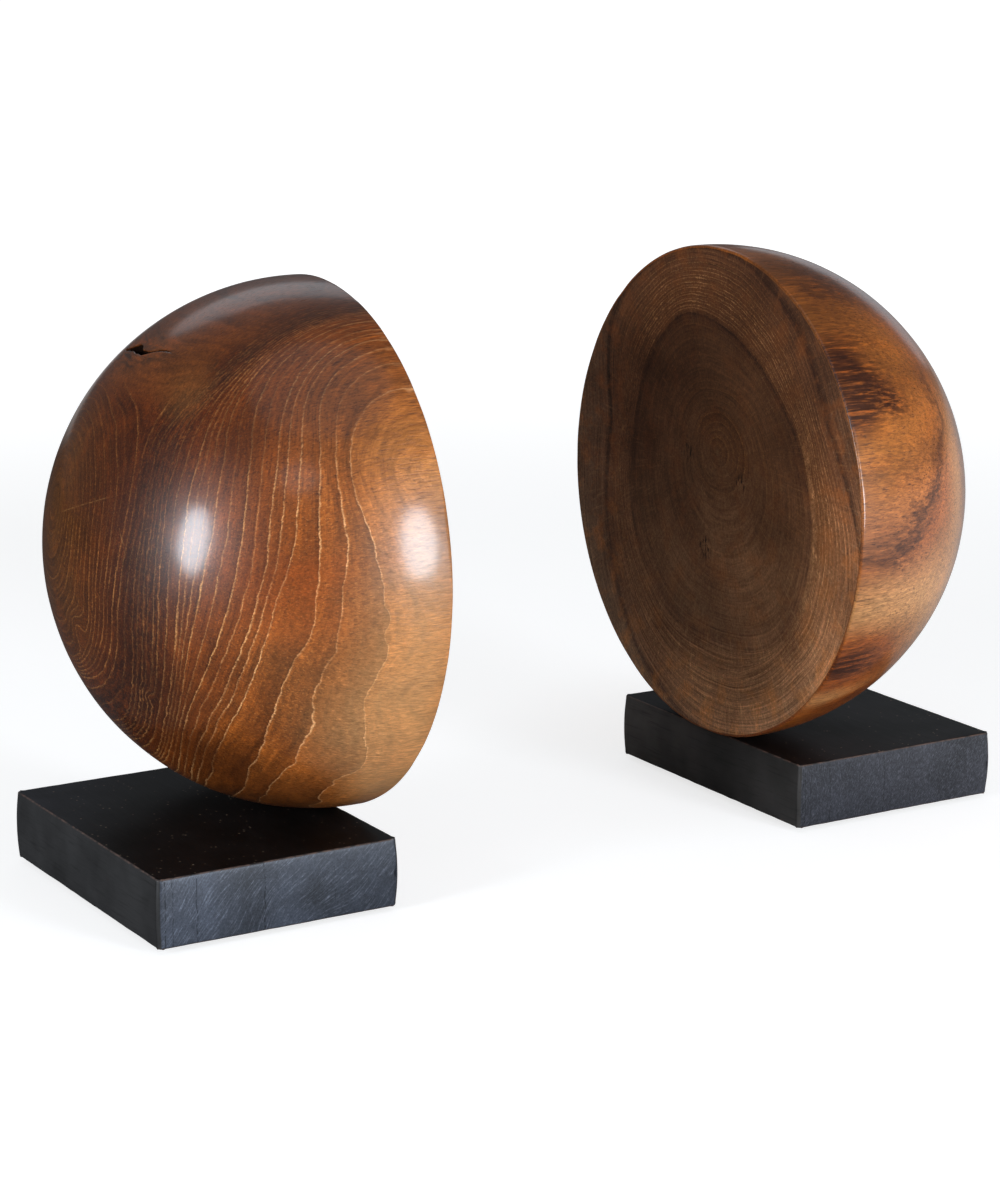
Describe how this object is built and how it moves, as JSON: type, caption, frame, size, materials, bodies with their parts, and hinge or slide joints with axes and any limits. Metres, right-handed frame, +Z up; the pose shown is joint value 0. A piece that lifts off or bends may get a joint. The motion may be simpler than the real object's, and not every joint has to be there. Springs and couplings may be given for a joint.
{
  "type": "book ends",
  "caption": "Free-standing book ends: turned hardwood half-dome on a black stained rectangular block, flat end-grain face towards the books.",
  "frame": {"origin": "on the shelf surface, midway between the two flat book-contact faces and on the centre line of both domes", "axes": "+Z up, +X along the row of books from the left book end to the right one, +Y towards the back of the shelf"},
  "size_m": [0.386, 0.2, 0.2276],
  "materials": {
    "teak": "oiled and polished teak, satin gloss on the dome, matt on the end-grain face",
    "black_stained_wood": "black stain, satin, fine sanding marks on the end grain",
    "zinc_screw": "yellow zinc-plated steel",
    "felt": "self-adhesive wool felt"
  },
  "bodies": {
    "left_bookend": {"left_dome": "teak", "left_base": "black_stained_wood", "left_screws": "zinc_screw", "left_felt_pads": "felt"},
    "right_bookend": {"right_dome": "teak", "right_base": "black_stained_wood", "right_screws": "zinc_screw", "right_felt_pads": "felt"}
  },
  "joints": [
    {"name": "book_gap", "type": "slide", "parent": "left_bookend", "child": "right_bookend", "axis": [1, 0, 0], "range_m": [-0.178, 0.32]}
  ]
}
